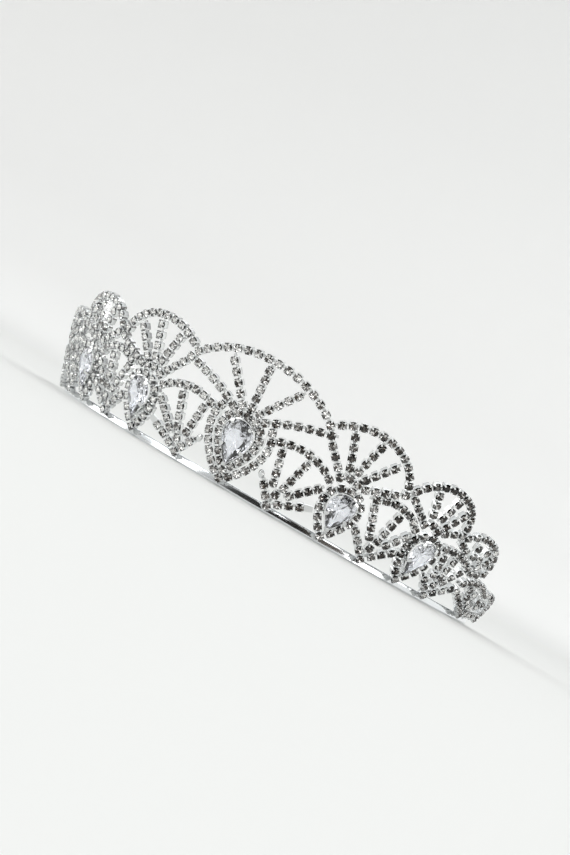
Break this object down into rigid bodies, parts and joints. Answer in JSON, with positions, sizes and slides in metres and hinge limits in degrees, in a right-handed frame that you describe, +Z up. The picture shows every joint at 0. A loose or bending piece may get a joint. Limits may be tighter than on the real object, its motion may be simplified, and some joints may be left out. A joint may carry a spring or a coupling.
{
  "type": "bridal tiara",
  "caption": "Half-round headband with a leaning open lattice of square cup settings in fans and leaves, set with clear round stones and pear-shaped stones in halos, worn on the head.",
  "frame": {"origin": "middle of the footprint on the plane that the headband rests on", "axes": "+X towards the wearer's left with the front facing -Y, +Y from the front to the open back, +Z up"},
  "size_m": [0.1462, 0.0845, 0.0354],
  "materials": {
    "silver_metal": "polished plating",
    "pear_stone": "faceted, clear",
    "round_stone": "faceted, clear"
  },
  "bodies": {
    "root": {"tiara_frame": "silver_metal", "centre_stone": "pear_stone", "inner_stone_left": "pear_stone", "inner_stone_right": "pear_stone", "outer_stone_left": "pear_stone", "outer_stone_right": "pear_stone", "centre_fan_stones": "round_stone", "left_fan_stones": "round_stone", "right_fan_stones": "round_stone", "centre_halo_stones": "round_stone", "left_halo_stones": "round_stone", "right_halo_stones": "round_stone", "left_leaf_stones": "round_stone", "right_leaf_stones": "round_stone"}
  },
  "joints": []
}
